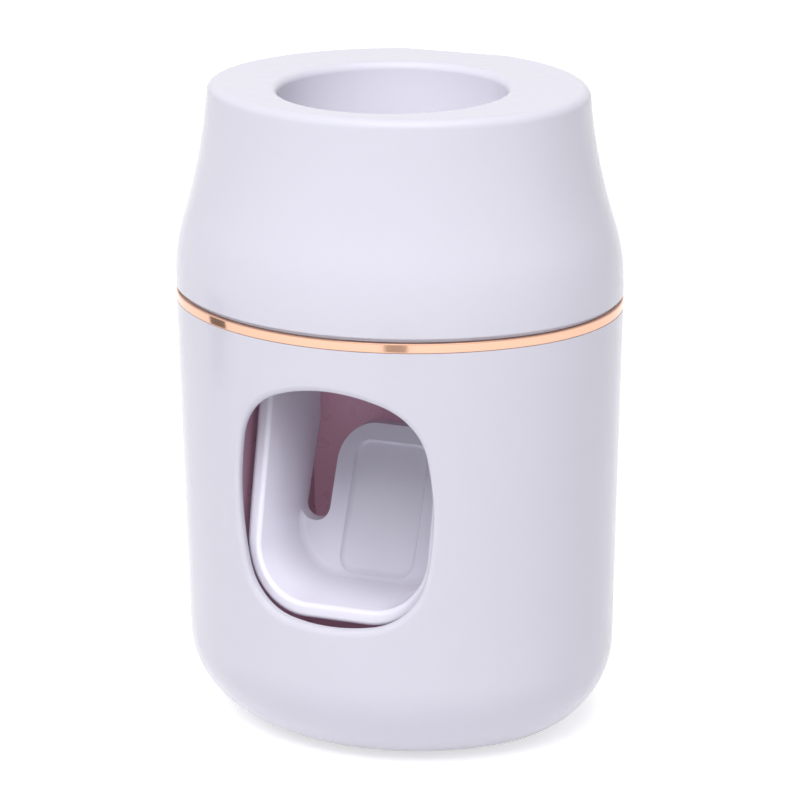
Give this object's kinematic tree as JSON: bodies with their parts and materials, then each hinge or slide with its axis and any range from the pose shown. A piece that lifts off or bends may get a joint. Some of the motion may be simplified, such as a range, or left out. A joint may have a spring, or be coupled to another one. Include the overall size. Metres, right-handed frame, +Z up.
{
  "type": "toothpaste dispenser",
  "caption": "Wall-mounted toothpaste dispenser: oval white body with a metallic seam band, a tube well in its top and a brush opening with a sprung pusher that works a bellows pump.",
  "frame": {"origin": "on the surface that the body stands on, under the middle of the oval's side arcs", "axes": "+Z up, -Y towards the brush opening, +Y towards the wall, +X to the right seen from the front"},
  "size_m": [0.078, 0.0617, 0.113],
  "materials": {
    "white_plastic": "gloss",
    "rose_gold_plating": "polished",
    "mauve_plastic": "satin",
    "natural_plastic": "satin",
    "silicone": "matt",
    "steel": "plain",
    "foam_tape": "matt"
  },
  "bodies": {
    "housing": {"lower_housing": "white_plastic", "trim_ring": "rose_gold_plating", "inner_liner": "mauve_plastic", "pivot_pins": "steel", "pump_bellows": "silicone", "return_spring": "steel", "pump_end_cap": "natural_plastic", "riser_seal": "silicone", "paste_manifold": "natural_plastic", "neck_seal": "silicone", "seal_retainer": "natural_plastic", "inlet_valve": "silicone", "outlet_valve": "silicone", "nozzle_tip": "natural_plastic", "rear_cover": "white_plastic", "liner_screws": "steel", "end_cap_screws": "steel", "deck_screws": "steel", "cover_screws": "steel"},
    "top_shell": {"upper_shell": "white_plastic"},
    "pusher_lever": {"pusher": "white_plastic"},
    "plunger": {"pump_plunger": "natural_plastic"},
    "wall_mount": {"wall_plate": "white_plastic", "adhesive_pad": "foam_tape"}
  },
  "joints": [
    {"name": "pusher_hinge", "type": "hinge", "parent": "housing", "child": "pusher_lever", "pos_m": [0, -0.016, 0.071], "axis": [1, 0, 0], "range_deg": [0, 13], "stiffness_Nm_per_rad": 0.25, "springref_deg": -5.73},
    {"name": "plunger_slide", "type": "slide", "parent": "housing", "child": "plunger", "axis": [0, 1, 0], "range_m": [0, 0.00435], "deforming": ["pump_bellows", "return_spring"]},
    {"name": "shell_lift", "type": "slide", "parent": "housing", "child": "top_shell", "axis": [0, 0, 1], "range_m": [0, 0.03]},
    {"name": "plate_slide", "type": "slide", "parent": "housing", "child": "wall_mount", "axis": [0, 0, -1], "range_m": [0, 0.006]}
  ],
  "couplings": [
    {"joint": "plunger_slide", "follows": "pusher_hinge", "m_per_rad": 0.01906}
  ]
}
